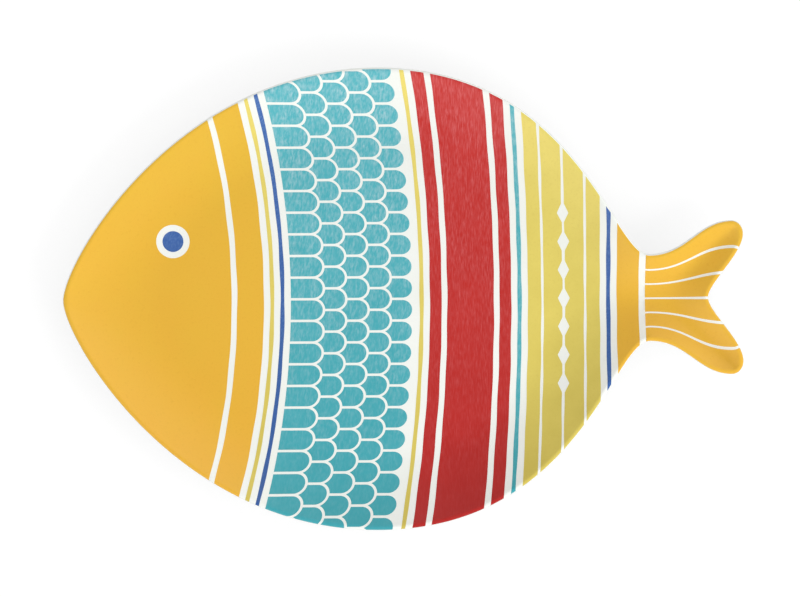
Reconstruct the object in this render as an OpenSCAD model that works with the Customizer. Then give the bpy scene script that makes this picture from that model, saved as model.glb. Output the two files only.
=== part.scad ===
// Fish shaped serving platter: a moulded dish with a flat lip, a foot ring and a printed face.
// X runs from the nose to the tail, Y across the fish and Z up.
// The origin lies on the table, under the middle of the platter.

/* [Outline] */
// Length from the nose to the tips of the tail
platter_length = 406; // [370:1:480]
// Width across the belly
body_width = 276; // [220:1:330]
// Distance from the nose to the widest place
widest_at = 188; // [160:1:210]
// Length of the tail, from the waist to its tips
tail_length = 56; // [46:1:70]
// Width at the waist
waist_width = 52; // [42:1:66]
// Width across both lobes of the tail
tail_width = 92; // [80:1:120]
// Distance between the two tips of the tail
tip_spread = 76; // [60:1:80]
// How far the widest place of a lobe lies in front of its tip
lobe_setback = 7; // [5:0.5:10]
// Depth of the notch between the lobes
notch_depth = 21; // [12:1:26]

/* [Curves] */
// Bluntness of the nose, as a share of half the body width
nose_bluntness = 0.17; // [0.12:0.01:0.3]
// Fullness of the shoulder, as a share of the stretch from the nose to the widest place
shoulder_fullness = 0.64; // [0.5:0.01:0.7]
// Fullness of the back, as a share of the stretch from the widest place to the waist
back_fullness = 0.74; // [0.6:0.01:0.8]
// Softness of the body's turn into the waist, as a share of the same stretch
waist_softness = 0.13; // [0.08:0.01:0.2]
// Softness of the waist's turn into the lobe, as a share of the lobe's outer side
flare_softness = 0.45; // [0.3:0.01:0.5]
// Fullness of the lobe's outer side, as a share of that side
lobe_fullness = 0.41; // [0.3:0.01:0.5]
// Fullness of the lobe's inner side, as a share of half the tip spread
inner_fullness = 0.32; // [0.2:0.01:0.45]
// Bluntness of the notch, as a share of half the tip spread
notch_bluntness = 0.22; // [0.15:0.01:0.35]

/* [Dish] */
// Height of the lip above the table
platter_height = 23; // [17:0.5:34]
// Wall thickness of the moulding
wall = 3.2; // [2.4:0.1:4.5]
// Width of the rising rim, lip included
rim_width = 46; // [32:1:54]
// Width of the flat lip
lip_width = 3.2; // [2.4:0.1:5]
// Power of the rim's curve: 2 is a plain arc, more keeps the rise near the lip
rim_curve = 2; // [1.6:0.1:3]
// Height of the foot ring
foot_height = 2.5; // [1.5:0.5:5]
// Width of the foot ring's face
foot_face = 4; // [3:0.5:8]
// Distance of the foot ring from the rim
foot_inset = 14; // [8:1:20]

/* [Print] */
// Thickness of a printed skin
skin_thickness = 0.2; // [0.1:0.05:0.4]
// Clearance between a printed skin and the dish
skin_clearance = 0.3; // [0.2:0.05:0.5]
// Bare lip left round the print
print_margin = 2; // [1:0.5:5]
// Width of a pinstripe
pinstripe = 2.4; // [1.5:0.1:5]
// White gap beside a pinstripe
stripe_gap = 3.8; // [2:0.2:6]

/* [Head] */
// Distance from the nose to the middle of the gill line
gill_at = 100; // [90:1:106]
// How far the ends of the gill line sweep towards the nose
gill_sweep = 22; // [0:1:30]
// Width of the white gill line
gill_line = 3.4; // [2:0.2:6]
// Width of the band behind the gill line
gill_band = 16; // [8:1:24]
// Distance from the nose to the middle of the eye
eye_at = 65; // [55:1:75]
// Distance of the eye from the middle line
eye_offset = 35; // [25:1:45]
// Diameter of the white of the eye
eye_size = 20; // [14:1:26]
// Diameter of the pupil
pupil_size = 12.5; // [6:0.5:13]

/* [Scales] */
// Distance between two columns, as near as whole columns fill the room
scale_length = 13.4; // [11:0.2:15]
// Distance between two scales of a column
scale_width = 13; // [11:0.5:16]
// White gap between scales
scale_gap = 1.5; // [1:0.1:2.5]

/* [Stripes] */
// Width of a narrow red stripe
red_line = 7; // [4:0.5:9]
// Width of the wide red stripe
red_band = 28; // [16:1:34]
// White gap between red stripes
red_gap = 3.4; // [2:0.2:5]
// Width of a narrow yellow stripe
yellow_line = 8; // [4:0.5:10]
// Width of the yellow band that holds the lozenges
yellow_band = 24; // [16:1:28]
// White gap between yellow stripes
yellow_gap = 1.5; // [1:0.1:3]
// Length of a lozenge along the band
lozenge_length = 11; // [6:0.5:14]
// Width of a lozenge
lozenge_width = 7; // [4:0.5:10]
// Distance between two lozenges
lozenge_pitch = 17; // [15:0.5:24]

/* [Tail] */
// Width of the band at the root of the tail
root_band = 13; // [8:1:18]
// How far in front of the waist the rays of the fin start
fin_lead = 2.3; // [0:0.1:6]
// Number of rays in the fin
ray_count = 6; // [4:1:8]
// White gap between rays
ray_gap = 1.8; // [1:0.1:3]

/* [Hidden] */

// Colours of the moulding and the inks
white_melamine = "#f5f5ef";
orange_ink = "#e9b545";
red_ink = "#c13a37";
teal_ink = "#6ab5bd";
yellow_ink = "#e1ce6b";
blue_ink = "#4264ac";

// Steps of each curve of the outline. The inner side of a lobe has as many as its outer side and tip.
shoulder_steps = 22;
back_steps = 24;
flare_steps = 7;
tip_steps = 3;
// How much points crowd towards the waist, where the trough bends most, and towards the tip: 1 is even
waist_crowding = 1.4;
tip_crowding = 1.3;
// Rings across the rim, and steps round the lip
rim_rings = 6;
lip_steps = 4;
// Rows of a skin across each rim, and across the flat between them
rim_rows = 5;
flat_rows = 4;
// Rows of a scale, and sub-rows of a ray
scale_rows = 6;
ray_rows = 2;
// How far a scale's middle may lie outside the print, as a share of its width
scale_overhang = 0.3;
// Columns of a skin beside the lozenges, and its rows beyond the last lozenge
lozenge_columns = 2;
lozenge_end_rows = 3;
// Longest step of a skin along the fish, and of the skin at the root of the tail, where the dish bends most
skin_step = 8;
root_step = 3;
// Handle share that makes a cubic curve follow a quarter circle
quarter = 0.55;
// How sharply the rims of two facing edges blend where they meet: more is sharper
rim_blend = 4;
// Share of the room beside an edge that its rim rings fill in a narrow place
ring_reach = 0.97;
// Least width of the flat between the rims, as a share of the width
flat_share = 0.12;
// Least place of the lip between that flat and the edge, for the nose, where the lip is all there is
lip_least = 0.5;
// Smallest distance that counts
tiny = 0.001;
// Least width of the row of a skin that lies on the lip
least_row = 0.2;

nose_x = -platter_length / 2;
tip_x = platter_length / 2;
waist_x = tip_x - tail_length;
half_body = body_width / 2;
floor_top = foot_height + wall;
rim_rise = platter_height - floor_top;

// The upper half of the outline as cubic curves between its extreme points
nose = [nose_x, 0];
crown = [nose_x + widest_at, half_body];
waist = [waist_x, waist_width / 2];
lobe = [tip_x - lobe_setback, tail_width / 2];
tip = [tip_x, tip_spread / 2];
notch = [tip_x - notch_depth, 0];
back_run = waist.x - crown.x;
from_nose = [0, nose_bluntness * half_body];
from_crown = [back_fullness * back_run, 0];
from_waist = [-waist_softness * back_run, 0];
from_tip = [0, -inner_fullness * tip.y];
from_notch = [0, notch_bluntness * tip.y];
lobe_run = lobe.x - waist.x;

function bezier(a, b, c, d, t) =
    pow(1 - t, 3) * a + 3 * t * pow(1 - t, 2) * b + 3 * t * t * (1 - t) * c + pow(t, 3) * d;

// Points of a cubic from a to d at shares of its run. Its handles are the offsets from a and from d.
function curve(a, from_a, from_d, d, shares) = [for (t = shares) bezier(a, a + from_a, d + from_d, d, t)];
// Shares that crowd towards the start, or towards the end. The start itself is left out.
function early(steps, crowding = 1) = [for (i = [1:steps]) pow(i / steps, crowding)];
function late(steps, crowding) = [for (i = [1:steps]) 1 - pow(1 - i / steps, crowding)];

upper_edge = concat(
    [nose],
    curve(nose, from_nose, [-shoulder_fullness * widest_at, 0], crown, early(shoulder_steps)),
    curve(crown, from_crown, from_waist, waist, late(back_steps, waist_crowding)),
    curve(waist, [flare_softness * lobe_run, 0], [-lobe_fullness * lobe_run, 0], lobe, early(flare_steps)),
    curve(lobe, [quarter * lobe_setback, 0], [0, quarter * (lobe.y - tip.y)], tip, early(tip_steps))
);
notch_edge = concat(
    [tip],
    curve(tip, from_tip, from_notch, notch, early(flare_steps + tip_steps, tip_crowding))
);

// The whole outline runs clockwise from the nose. These are the places of its marks in the list.
waist_mark = shoulder_steps + back_steps;
tip_mark = len(upper_edge) - 1;
notch_mark = tip_mark + len(notch_edge) - 1;
outline_count = 2 * notch_mark;
half_outline = concat(upper_edge, [for (i = [1:len(notch_edge) - 1]) notch_edge[i]]);
outline = concat(half_outline, [for (i = [notch_mark - 1:-1:1]) mirrored(half_outline[i])]);
inward = [for (i = [0:outline_count - 1]) inward_normal(i)];

function mirrored(p) = [p.x, -p.y];
function wrapped(i) = (i + outline_count) % outline_count;
function unit(v) = v / norm(v);
function inward_normal(i) =
    let (along = unit(outline[wrapped(i + 1)] - outline[wrapped(i - 1)])) [along.y, -along.x];
function mix(a, b, share) = a + (b - a) * share;
function clamped(value, low, high) = max(low, min(high, value));

// Radius of the largest circle inside the outline that touches it at point i
function room_at(i) = min([
    for (j = [0:outline_count - 1])
        let (across = outline[j] - outline[i], facing = across * inward[i])
            if (facing > tiny) across * across / (2 * facing)
]);
rim_reach = [for (i = [0:outline_count - 1]) min(rim_width, ring_reach * room_at(i))];

// Height of the dish's upper face: a rim that falls from the lip with the distance from the edge.
// The distances from the two sides and from the notch blend, so the narrow tail is a smooth trough.
function segment_distance(p, a, b) =
    let (ab = b - a, share = clamped((p - a) * ab / (ab * ab), 0, 1)) norm(p - a - share * ab);
function edge_distance(p, edge) =
    max(tiny, min([for (i = [1:len(edge) - 1]) segment_distance(p, edge[i - 1], edge[i])]));
function blended(distances) =
    pow([for (d = distances) pow(d, -rim_blend)] * [for (d = distances) 1], -1 / rim_blend);
function rim_distance(p) = blended([
    edge_distance(p, upper_edge),
    edge_distance(mirrored(p), upper_edge),
    edge_distance([p.x, abs(p.y)], notch_edge)
]);
function dish_z(p) =
    let (share = clamped((rim_width - rim_distance(p)) / (rim_width - lip_width), 0, 1))
        floor_top + rim_rise * pow(share, rim_curve);

// Rings of the moulding, from the inside of the rim over the lip and back underneath
function inset_point(i, inset) = outline[i] + inset * inward[i];
function ring_inset(i, k) = mix(lip_width, max(lip_width, rim_reach[i]), k / rim_rings);
function ring_points(k) = [for (i = [0:outline_count - 1]) inset_point(i, ring_inset(i, k))];
function raised(points, heights, drop) =
    [for (i = [0:len(points) - 1]) [points[i].x, points[i].y, heights[i] - drop]];
function lip_ring(angle) = [
    for (i = [0:outline_count - 1])
        let (p = inset_point(i, wall / 2 * (1 - sin(angle))))
            [p.x, p.y, platter_height - wall / 2 * (1 - cos(angle))]
];
rim_plans = [for (k = [0:rim_rings]) ring_points(k)];
rim_heights = [for (ring = rim_plans) [for (p = ring) dish_z(p)]];
spine = [for (i = [1:waist_mark]) [rim_plans[rim_rings][i].x, 0]];
spine_heights = [for (p = spine) dish_z(p)];

function loop_faces(ring) = [
    for (i = [0:outline_count - 1])
        let (
            a = ring * outline_count + i,
            b = ring * outline_count + wrapped(i + 1),
            c = b + outline_count,
            d = a + outline_count
        )
            each [[a, b, c], [a, c, d]]
];

// Faces that close the innermost ring, which starts at point first, with its spine points after.
// The body closes through the spine, and each lobe from its outer to its inner side.
function half_cap(first, spine_first, side) = [
    [at(first, 0, side), at(first, 1, side), spine_first],
    for (i = [1:waist_mark - 1])
        let (
            a = at(first, i, side),
            b = at(first, i + 1, side),
            c = spine_first + i,
            d = c - 1
        )
            each [[a, b, c], [a, c, d]],
    [at(first, waist_mark, side), at(first, notch_mark, side), spine_first + waist_mark - 1],
    for (i = [0:tip_mark - waist_mark - 1])
        let (
            a = at(first, waist_mark + i, side),
            b = at(first, waist_mark + i + 1, side),
            c = at(first, notch_mark - i - 1, side),
            d = at(first, notch_mark - i, side)
        )
            each (b == c ? [[a, b, d]] : [[a, b, c], [a, c, d]])
];
function at(first, i, side) = first + (side > 0 ? i : wrapped(-i));
function flipped(faces) = [for (f = faces) [f[2], f[1], f[0]]];
function cap(first, spine_first) =
    concat(half_cap(first, spine_first, 1), flipped(half_cap(first, spine_first, -1)));

module dish() {
    upper = [for (k = [rim_rings:-1:0]) raised(rim_plans[k], rim_heights[k], 0)];
    lip = [for (s = [0:lip_steps]) lip_ring(180 * s / lip_steps)];
    lower = [for (k = [0:rim_rings]) raised(rim_plans[k], rim_heights[k], wall)];
    rings = concat(upper, lip, lower);
    ring_total = len(rings) * outline_count;
    points = concat(
        [for (ring = rings) each ring],
        raised(spine, spine_heights, 0),
        raised(spine, spine_heights, wall)
    );
    faces = concat(
        [for (r = [0:len(rings) - 2]) each flipped(loop_faces(r))],
        cap(0, ring_total),
        flipped(cap(ring_total - outline_count, ring_total + waist_mark))
    );
    polyhedron(points, faces);
}

// An oval foot under the flat part of the well, sunk into the floor by half the wall
foot_front = nose_x + rim_width + foot_inset;
foot_rear = waist_x - rim_width - foot_inset;
foot_middle = (foot_front + foot_rear) / 2;
foot_half = [(foot_rear - foot_front) / 2, half_body - rim_width - foot_inset];
foot_sides = 72;

module oval(half) {
    polygon([
        for (i = [0:foot_sides - 1])
            let (angle = 360 * i / foot_sides) [half.x * cos(angle), half.y * sin(angle)]
    ]);
}

module foot_ring() {
    translate([foot_middle, 0, 0])
        linear_extrude(foot_height + wall / 2)
            difference() {
                oval(foot_half);
                oval([foot_half.x - foot_face, foot_half.y - foot_face]);
            }
}

// A printed skin that follows the dish, from a grid of plan points in rows
module skin(grid) {
    rows = len(grid);
    columns = len(grid[0]);
    count = rows * columns;
    plan = [for (row = grid) each row];
    seats = [for (p = plan) dish_z(p) + skin_clearance];
    points = concat(raised(plan, seats, 0), raised(plan, seats, -skin_thickness));
    cells = [
        for (r = [0:rows - 2], c = [0:columns - 2])
            let (
                a = r * columns + c,
                b = a + 1,
                d = a + columns,
                e = d + 1
            )
                each [[a, e, b], [a, d, e]]
    ];
    rim = concat(
        [for (c = [0:columns - 1]) c],
        [for (r = [1:rows - 1]) r * columns + columns - 1],
        [for (c = [columns - 2:-1:0]) (rows - 1) * columns + c],
        [for (r = [rows - 2:-1:1]) r * columns]
    );
    walls = [
        for (i = [0:len(rim) - 1])
            let (a = rim[i], b = rim[(i + 1) % len(rim)])
                each [[a, b + count, a + count], [a, b, b + count]]
    ];
    polyhedron(points, concat(cells, flipped([for (f = cells) [for (v = f) v + count]]), walls));
}

// Edges of the printed area, of the notch in it and of the flat lip
print_edge = [for (i = [0:tip_mark]) inset_point(i, print_margin)];
print_notch = [for (i = [tip_mark:notch_mark]) inset_point(i, print_margin)];
lip_edge = [for (i = [0:tip_mark]) inset_point(i, lip_width)];
print_front = nose_x + print_margin;
function print_half(x) = lookup(x, print_edge);
// Shares of the printed half width: the flat between the rims, and all that lies inside the lip
function flat_at(x) = max(flat_share, 1 - rim_width / print_half(x));
function lip_at(x) =
    let (half = print_half(x))
        clamped(lookup(x, lip_edge), mix(flat_at(x), 1, lip_least) * half, half - least_row) / half;

// The gill line's sweep fades towards the nose and towards the waist
gill_x = nose_x + gill_at;
function sweep_at(x) =
    gill_sweep * (x < gill_x ? (x - nose_x) / gill_at : max(0, (waist_x - x) / (waist_x - gill_x)));
function swept(p) = [p.x - sweep_at(p.x) * pow(p.y / half_body, 2), p.y];

// Plan point of a band: the line that crosses the middle at x, at a share of the print's half width.
// Each pass moves the point along its swept line until it lies at that share.
sweep_passes = 5;
function band_point(x, share, y = 0, passes = sweep_passes) =
    let (p = swept([x, y]))
        passes == 0 ? p : band_point(x, share, share * print_half(p.x), passes - 1);
function row_shares(x) =
    let (
        flat = flat_at(x),
        rim = [for (i = [0:rim_rows]) mix(flat, lip_at(x), i / rim_rows)]
    )
    concat(
        [-1],
        -[for (i = [rim_rows:-1:0]) rim[i]],
        [for (i = [1:flat_rows - 1]) mix(-flat, flat, i / flat_rows)],
        rim,
        [1]
    );
function band_row(x) = [for (share = row_shares(x)) band_point(x, share)];
module band(front, rear, longest_step = skin_step) {
    steps = ceil((rear - front) / longest_step);
    skin([for (i = [0:steps]) band_row(mix(front, rear, i / steps))]);
}

// Where each band starts. Those of the head follow the nose and those of the tail end at the waist.
// Whole columns of scales fill the room between them.
gill_rear = gill_x + gill_line + gill_band;
yellow_collar_x = gill_rear + stripe_gap;
blue_collar_x = yellow_collar_x + pinstripe + stripe_gap;
scales_x = blue_collar_x + pinstripe + stripe_gap;
rays_x = waist_x - fin_lead;
root_x = rays_x - stripe_gap - root_band;
blue_tail_x = root_x - stripe_gap - pinstripe;
rear_yellow_x = blue_tail_x - stripe_gap - yellow_line;
lozenge_x = rear_yellow_x - yellow_gap - yellow_band;
front_yellow_x = lozenge_x - yellow_gap - yellow_line;
teal_x = front_yellow_x - stripe_gap - pinstripe;
rear_red_x = teal_x - stripe_gap - red_line;
wide_red_x = rear_red_x - red_gap - red_band;
front_red_x = wide_red_x - red_gap - red_line;
yellow_middle_x = front_red_x - stripe_gap - pinstripe;
scale_room = yellow_middle_x - stripe_gap - scale_width / 2 - scales_x;
scale_columns = max(1, round(scale_room / scale_length));
column_pitch = scale_room / scale_columns;

eye = [nose_x + eye_at, eye_offset];

// A post through the whole height, for cutting the eye
module eye_post(diameter) {
    translate(eye) cylinder(h = platter_height + wall, d = diameter, $fn = 48);
}

module platter_body() {
    color(white_melamine) union() {
        dish();
        foot_ring();
    }
}

// The head's front edge lies where the print is wide enough to have one, and its next row inside the lip.
// Both sides count alike in the distance there, so the lip is wider on the middle line.
nose_cut = 0.4;
nose_lip = lip_width * pow(2, 1 / rim_blend);
head_steps = 9;
head_crowding = 1.5;

module head_panel() {
    grid = [
        band_row(print_front + nose_cut),
        for (i = [0:head_steps]) band_row(mix(nose_x + nose_lip, gill_x, pow(i / head_steps, head_crowding)))
    ];
    color(orange_ink) difference() {
        skin(grid);
        eye_post(eye_size);
    }
}

module eye_pupil() {
    reach = pupil_size / 2 + skin_clearance;
    grid = [for (x = [-reach, 0, reach]) [for (y = [-reach, 0, reach]) eye + [x, y]]];
    color(blue_ink) intersection() {
        skin(grid);
        eye_post(pupil_size);
    }
}

module gill_band_panel() {
    color(orange_ink) band(gill_x + gill_line, gill_rear);
}

module yellow_collar_stripe() {
    color(yellow_ink) band(yellow_collar_x, yellow_collar_x + pinstripe);
}

module blue_collar_stripe() {
    color(blue_ink) band(blue_collar_x, blue_collar_x + pinstripe);
}

// One scale: round behind, hollowed in front by the two scales ahead of it, or straight in the first column.
// Its rows stop at the edge of the print.
function scale_grid(middle, first) =
    let (
        radius = scale_width / 2,
        inner = radius - scale_gap / 2,
        outer = radius + scale_gap / 2,
        front_x = middle.x - column_pitch + (first ? 0 : radius),
        front_limit = print_half(swept([front_x, middle.y]).x),
        rear_limit = print_half(swept(middle).x)
    )
    [
        for (i = [scale_rows:-1:0])
            let (
                share = (1 - cos(180 * i / scale_rows)) / 2,
                front_y = scale_y(middle.y, inner, front_limit, share),
                rear_y = scale_y(middle.y, inner, rear_limit, share),
                hollow = sqrt(max(0, pow(outer, 2) - pow(radius - abs(front_y - middle.y), 2))),
                bulge = sqrt(max(0, pow(inner, 2) - pow(rear_y - middle.y, 2)))
            )
                [
                    swept([middle.x - column_pitch + (first ? 0 : hollow), front_y]),
                    swept([middle.x + bulge, rear_y])
                ]
    ];
function scale_y(middle_y, inner, limit, share) =
    mix(max(middle_y - inner, -limit), min(middle_y + inner, limit), share);
// Does enough of the scale's width lie inside the print to show?
function scale_fits(middle) =
    abs(middle.y) < scale_overhang * scale_width + min([
        for (x = [middle.x - column_pitch, middle.x]) print_half(swept([x, middle.y]).x)
    ]);

module scale_field() {
    rows = ceil(half_body / scale_width);
    color(teal_ink)
        for (column = [1:scale_columns], row = [-rows:rows]) {
            middle = [scales_x + column * column_pitch, (row + (column % 2) / 2) * scale_width];
            if (scale_fits(middle)) skin(scale_grid(middle, column == 1));
        }
}

module yellow_middle_stripe() {
    color(yellow_ink) band(yellow_middle_x, yellow_middle_x + pinstripe);
}

module front_red_stripe() {
    color(red_ink) band(front_red_x, front_red_x + red_line);
}

module wide_red_stripe() {
    color(red_ink) band(wide_red_x, wide_red_x + red_band);
}

module rear_red_stripe() {
    color(red_ink) band(rear_red_x, rear_red_x + red_line);
}

module teal_stripe() {
    color(teal_ink) band(teal_x, teal_x + pinstripe);
}

module front_yellow_stripe() {
    color(yellow_ink) band(front_yellow_x, front_yellow_x + yellow_line);
}

// The band with lozenges is two skins, and a white line with lozenges on it runs between them.
// A row passes through each lozenge's middle and both its tips, and more lie between the last and the edge.
lozenge_line_x = lozenge_x + yellow_band / 2;
lozenge_room = print_half(lozenge_x + yellow_band) - lozenge_length / 2 - yellow_gap;
lozenge_reach = floor(lozenge_room / lozenge_pitch);
lozenge_top = lozenge_reach * lozenge_pitch + lozenge_length / 2;
function lozenge_row(low, high, y) =
    [for (i = [0:lozenge_columns]) swept([mix(low, high, i / lozenge_columns), y])];
function end_share(x, row) =
    row == 0 ? 1 : mix(lip_at(x), lozenge_top / print_half(x), (row - 1) / lozenge_end_rows);
function lozenge_end(low, high, row, sign) = [
    for (i = [0:lozenge_columns])
        let (x = mix(low, high, i / lozenge_columns)) band_point(x, sign * end_share(x, row))
];

module lozenge_side(outer_x, side) {
    inner_x = lozenge_line_x + side * yellow_gap / 2;
    cut_x = lozenge_line_x + side * lozenge_width / 2;
    low = min(inner_x, outer_x);
    high = max(inner_x, outer_x);
    skin([
        for (row = [0:lozenge_end_rows]) lozenge_end(low, high, row, 1),
        for (i = [lozenge_reach:-1:-lozenge_reach], part = [1:-1:-1])
            let (edge_x = part == 0 ? cut_x : inner_x, y = i * lozenge_pitch + part * lozenge_length / 2)
                lozenge_row(min(edge_x, outer_x), max(edge_x, outer_x), y),
        for (row = [lozenge_end_rows:-1:0]) lozenge_end(low, high, row, -1)
    ]);
}

module lozenge_band() {
    color(yellow_ink) {
        lozenge_side(lozenge_x, -1);
        lozenge_side(lozenge_x + yellow_band, 1);
    }
}

module rear_yellow_stripe() {
    color(yellow_ink) band(rear_yellow_x, rear_yellow_x + yellow_line);
}

module blue_tail_stripe() {
    color(blue_ink) band(blue_tail_x, blue_tail_x + pinstripe);
}

module tail_root_panel() {
    color(orange_ink) band(root_x, root_x + root_band, root_step);
}

// Where a ray at a share of the half width meets the notch's edge, by halving the stretch it lies in
ray_passes = 16;
function ray_end(share, low, high, passes = ray_passes) =
    let (middle = (low + high) / 2, inside = share * print_half(middle) > lookup(middle, print_notch))
        passes == 0 ? middle : ray_end(share, inside ? middle : low, inside ? high : middle, passes - 1);
function ray_line(share) =
    let (
        end = ray_end(abs(share), print_notch[len(print_notch) - 1].x, print_notch[0].x),
        steps = ceil((tip_x - rays_x) / skin_step)
    )
    [
        for (i = [0:steps])
            let (x = mix(rays_x, end - ray_lip, i / steps)) [x, share * print_half(x)],
        [end, share * print_half(end)]
    ];
// The print's share of the lip at the end of a ray, along it, and beside the outermost rays
ray_lip = max(least_row, lip_width - print_margin) / sin(atan2(tip.y, notch_depth));
side_lip = 1 - max(least_row, lip_width - print_margin) / waist.y;

module tail_rays() {
    half_gap = ray_gap / tail_width;
    color(orange_ink)
        for (ray = [0:ray_count - 1]) {
            low = ray == 0 ? -side_lip : 2 * ray / ray_count - 1 + half_gap;
            high = ray == ray_count - 1 ? side_lip : 2 * (ray + 1) / ray_count - 1 - half_gap;
            skin([
                if (ray == ray_count - 1) ray_line(1),
                for (i = [ray_rows:-1:0]) ray_line(mix(low, high, i / ray_rows)),
                if (ray == 0) ray_line(-1)
            ]);
        }
}

platter_body();
head_panel();
eye_pupil();
gill_band_panel();
yellow_collar_stripe();
blue_collar_stripe();
scale_field();
yellow_middle_stripe();
front_red_stripe();
wide_red_stripe();
rear_red_stripe();
teal_stripe();
front_yellow_stripe();
lozenge_band();
rear_yellow_stripe();
blue_tail_stripe();
tail_root_panel();
tail_rays();
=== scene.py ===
"""Looks of the fish shaped platter: one smooth moulding and the printed areas that lie in its face.

Plan sizes are in millimetres, as in the part's source, and meshes are made in metres.
"""

import math

import bpy
import numpy as np
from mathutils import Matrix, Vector
from mathutils.geometry import delaunay_2d_cdt
from mathutils.kdtree import KDTree


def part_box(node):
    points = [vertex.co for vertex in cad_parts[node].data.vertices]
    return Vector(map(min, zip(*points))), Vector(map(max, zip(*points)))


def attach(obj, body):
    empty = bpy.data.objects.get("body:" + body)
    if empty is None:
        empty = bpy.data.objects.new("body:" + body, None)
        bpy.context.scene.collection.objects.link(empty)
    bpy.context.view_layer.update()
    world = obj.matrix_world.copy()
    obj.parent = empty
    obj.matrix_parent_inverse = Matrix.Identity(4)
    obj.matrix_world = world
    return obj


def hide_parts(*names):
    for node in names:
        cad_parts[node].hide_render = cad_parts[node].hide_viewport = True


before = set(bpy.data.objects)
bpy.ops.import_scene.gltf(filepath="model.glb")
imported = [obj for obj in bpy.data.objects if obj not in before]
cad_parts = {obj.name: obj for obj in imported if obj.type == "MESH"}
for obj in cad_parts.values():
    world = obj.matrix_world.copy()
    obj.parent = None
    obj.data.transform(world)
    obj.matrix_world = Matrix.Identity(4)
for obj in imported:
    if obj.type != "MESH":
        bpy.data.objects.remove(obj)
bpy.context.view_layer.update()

MM = 0.001

# Outline of the fish, as in the part's source
LENGTH = 406
BODY_WIDTH = 276
WIDEST_AT = 188
TAIL_LENGTH = 56
WAIST_WIDTH = 52
TAIL_WIDTH = 92
TIP_SPREAD = 76
LOBE_SETBACK = 7
NOTCH_DEPTH = 21
NOSE_BLUNTNESS = 0.17
SHOULDER_FULLNESS = 0.64
BACK_FULLNESS = 0.74
WAIST_SOFTNESS = 0.13
FLARE_SOFTNESS = 0.45
LOBE_FULLNESS = 0.41
INNER_FULLNESS = 0.32
NOTCH_BLUNTNESS = 0.22
# Handle of a curve that turns a quarter round, as a share of its reach
QUARTER = 0.55

# Section of the dish
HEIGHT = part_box("platter_body")[1].z / MM
WALL = 3.2
RIM_WIDTH = 46
FOOT_HEIGHT = 2.5
FOOT_INSET = 14
# Power by which the distances from back, belly and notch are blended: more makes the rims meet more sharply
RIM_BLEND = 4
# The lip looks narrower than the 3.2 mm of the part's source, because its inner edge is eased
LIP_WIDTH = 2.4
# Depth over which the lip's inner edge is rounded, and radius of its outer edge
CREASE = 0.4
LIP_RADIUS = WALL / 2
# A point nearer to the outline than the first lies on it, and no distance is taken as less than the second
ON_OUTLINE = 0.01
LEAST_DISTANCE = 0.001

# Places of the printed bands on the middle line
GILL_AT = 100
GILL_SWEEP = 22
GILL_LINE = 3.4
GILL_BAND = 16
PINSTRIPE = 2.4
STRIPE_GAP = 3.8
EYE_AT = 65
EYE_OFFSET = 35
EYE_SIZE = 20
PUPIL_SIZE = 12.5
SCALE_LENGTH = 13.4
SCALE_WIDTH = 13
SCALE_GAP = 1.5
# How far past the print's edge a scale's middle may lie, as a share of the scale's width
SCALE_OVERHANG = 0.3
RED_LINE = 7
RED_BAND = 28
RED_GAP = 3.4
YELLOW_LINE = 8
YELLOW_BAND = 24
YELLOW_GAP = 1.5
LOZENGE_LENGTH = 11
LOZENGE_WIDTH = 7
LOZENGE_PITCH = 17
ROOT_BAND = 13
FIN_LEAD = 2.3
RAY_COUNT = 6
RAY_GAP = 1.8

# The print lies a little low on the body, so its bare margin is wider along the back than along the belly.
# Over the last stretch of the tail it comes true, and ends with the least margin.
PRINT_MARGIN = 0.6
PRINT_DRIFT = (-0.2, -0.4)
LEAST_MARGIN = 0.3
DRIFT_FADE = 28
# The ink's edges waver a little, as cut by hand: by one wave, shifted from line to line, and by a lower one
# that turns by fewer radians over the same length
WAVER = 0.11
WAVER_LENGTH = 31
WAVER_SHIFT = 1.7
SLOW_WAVER = 0.6
SLOW_TURN = 4.7
# How far the ink stands above the face, and how deep it lies in it
INK_PROUD = 0.05
INK_DEPTH = 0.2
# How dense the crayon strokes are at the belly, as a share of their density at the back
BELLY_STROKES = 0.05
# How much of an ink's change of tone is due to slow clouds: the rest runs evenly from the belly to the
# back, as denser ink and painted shade at the belly and painted light at the back
CLOUD_SHARE = 0.25

# Fineness of the curves and meshes
CURVE_STEPS = 150
HEAD_STEPS = 160
CIRCLE_STEPS = 72
SCALE_STEPS = 25
RAY_STEPS = 400
FOOT_STEPS = 180
EDGE_STEP = 1.3
GRID_STEP = 2.3
UNDER_STEP = 4.0
# Distances of the rings of points that follow the outline, and the share of it that each point must keep
FACE_RINGS = (0.12, 0.4, 0.85, 1.4, 1.9, 2.4, 2.9, 3.6, 4.6, 6.0)
UNDER_RINGS = (0.12, 0.4, 0.85, 1.4, 1.9, 2.4, 2.9, 4.2, 6.5, 9.5)
RING_REACH = 0.97
# Room between a free point and an ink's edge, and between a ray's corner and the notch's points
FREE_ROOM = 0.6
CORNER_ROOM = 0.3
# Points closer than this become one in the plan, and so do points of a shell that agree to so many digits
MERGE_DISTANCE = 1e-4
MERGE_DIGITS = 4
# Faces that meet at more than this angle, in degrees, meet in a sharp edge
SHARP_ANGLE = 38
# Points measured at a time, and rounds of the two searches
CHUNK = 4096
LINE_ROUNDS = 12
FOOT_ROUNDS = 40

# Gloss of the glaze, and its roughness from the shiniest to the dullest places
GLAZE_IOR = 1.5
GLAZE_SPECULAR = 0.3
WHITE_ROUGHNESS = (0.26, 0.38)
INK_ROUGHNESS = (0.28, 0.4)
# Height of the surface's fine unevenness, in metres
BUMP_HEIGHT = 0.00002
# Spots a metre of each pattern
SMEARS = 60
WHITE_CLOUDS = 25
WHITE_GRAIN = 500
INK_CLOUDS = 38
INK_GRAIN = 450
INK_FLECKS = 700
# How many times as large as a stroke of the crayon a cluster of strokes is
CLUSTER = 4
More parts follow.
